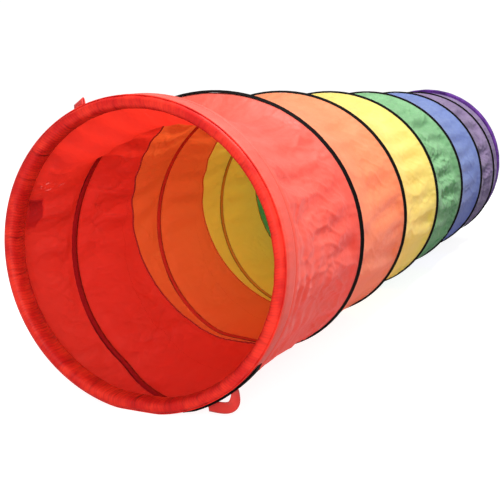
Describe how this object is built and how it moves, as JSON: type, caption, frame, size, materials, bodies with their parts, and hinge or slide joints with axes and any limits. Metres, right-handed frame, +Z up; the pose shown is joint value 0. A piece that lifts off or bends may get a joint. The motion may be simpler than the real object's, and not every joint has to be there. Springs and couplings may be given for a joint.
{
  "type": "agility crawl tunnel",
  "caption": "Pop-up crawl tunnel of rainbow fabric panels on one spring coil, with padded end hoops and tie loops; it pushes flat along its length.",
  "frame": {"origin": "middle of the front hoop's resting flat, on the floor", "axes": "+X along the tunnel from the front hoop to the rear hoop, +Z up, +Y to the left of someone looking in at the front from -X"},
  "size_m": [1.8902, 0.496, 0.4801],
  "materials": {
    "red_fabric": "thin plain-weave polyester taffeta with a soft sheen",
    "orange_fabric": "thin plain-weave polyester taffeta with a soft sheen",
    "yellow_fabric": "thin plain-weave polyester taffeta with a soft sheen",
    "green_fabric": "thin plain-weave polyester taffeta with a soft sheen",
    "blue_fabric": "thin plain-weave polyester taffeta with a soft sheen",
    "purple_fabric": "thin plain-weave polyester taffeta with a soft sheen",
    "red_hem_fabric": "gathered polyester over foam",
    "purple_hem_fabric": "gathered polyester over foam",
    "black_binding": "woven binding tape with stitched edges",
    "red_webbing": "folded ribbon",
    "spring_steel": "drawn wire",
    "foam": "open-cell foam",
    "black_vinyl": "soft dip-moulded cap"
  },
  "bodies": {
    "front_end": {"front_ring_wire": "spring_steel", "front_ring_ferrule": "spring_steel", "front_ring_padding": "foam", "front_hem": "red_hem_fabric", "loop_anchor_tape": "black_binding", "coil_front_tip": "black_vinyl", "coil_wire": "spring_steel", "coil_binding": "black_binding", "panel_red": "red_fabric"},
    "orange_section": {"seam_red_orange": "red_fabric", "panel_orange": "orange_fabric"},
    "yellow_section": {"seam_orange_yellow": "orange_fabric", "panel_yellow": "yellow_fabric"},
    "green_section": {"seam_yellow_green": "yellow_fabric", "panel_green": "green_fabric"},
    "blue_section": {"seam_green_blue": "green_fabric", "panel_blue": "blue_fabric"},
    "purple_section": {"seam_blue_purple": "blue_fabric", "panel_purple": "purple_fabric"},
    "rear_end": {"rear_ring_wire": "spring_steel", "rear_ring_ferrule": "spring_steel", "rear_ring_padding": "foam", "rear_hem": "purple_hem_fabric", "coil_rear_tip": "black_vinyl"},
    "lower_loop": {"lower_tie_loop": "red_webbing"},
    "left_loop": {"left_tie_loop": "red_webbing"},
    "upper_loop": {"upper_tie_loop": "red_webbing"}
  },
  "joints": [
    {"name": "collapse_red", "type": "slide", "parent": "front_end", "child": "orange_section", "axis": [-1, 0, 0], "range_m": [0, 0.3177], "stiffness_N_per_m": 20, "springref_m": -0.1, "deforming": ["panel_red", "seam_red_orange", "coil_wire", "coil_binding"]},
    {"name": "collapse_orange", "type": "slide", "parent": "orange_section", "child": "yellow_section", "axis": [-1, 0, 0], "range_m": [0, 0.2926], "deforming": ["panel_orange", "seam_orange_yellow"]},
    {"name": "collapse_yellow", "type": "slide", "parent": "yellow_section", "child": "green_section", "axis": [-1, 0, 0], "range_m": [0, 0.2926], "deforming": ["panel_yellow", "seam_yellow_green"]},
    {"name": "collapse_green", "type": "slide", "parent": "green_section", "child": "blue_section", "axis": [-1, 0, 0], "range_m": [0, 0.2926], "deforming": ["panel_green", "seam_green_blue"]},
    {"name": "collapse_blue", "type": "slide", "parent": "blue_section", "child": "purple_section", "axis": [-1, 0, 0], "range_m": [0, 0.2926], "deforming": ["panel_blue", "seam_blue_purple"]},
    {"name": "collapse_purple", "type": "slide", "parent": "purple_section", "child": "rear_end", "axis": [-1, 0, 0], "range_m": [0, 0.283], "deforming": ["panel_purple"]},
    {"name": "lower_loop_swing", "type": "hinge", "parent": "front_end", "child": "lower_loop", "pos_m": [0.015, -0.12294, 0.0285], "axis": [0, -0.8572, 0.515], "range_deg": [0, 60]},
    {"name": "left_loop_swing", "type": "hinge", "parent": "front_end", "child": "left_loop", "pos_m": [0.023, 0.23832, 0.27514], "axis": [0, -0.1736, 0.9848], "range_deg": [-8, 110]},
    {"name": "upper_loop_swing", "type": "hinge", "parent": "front_end", "child": "upper_loop", "pos_m": [0.023, 0.11361, 0.44679], "axis": [0, -0.8829, 0.4695], "range_deg": [-15, 110]}
  ],
  "couplings": [
    {"joint": "collapse_orange", "follows": "collapse_red", "ratio": 0.92081},
    {"joint": "collapse_yellow", "follows": "collapse_red", "ratio": 0.92081},
    {"joint": "collapse_green", "follows": "collapse_red", "ratio": 0.92081},
    {"joint": "collapse_blue", "follows": "collapse_red", "ratio": 0.92081},
    {"joint": "collapse_purple", "follows": "collapse_red", "ratio": 0.89073}
  ]
}
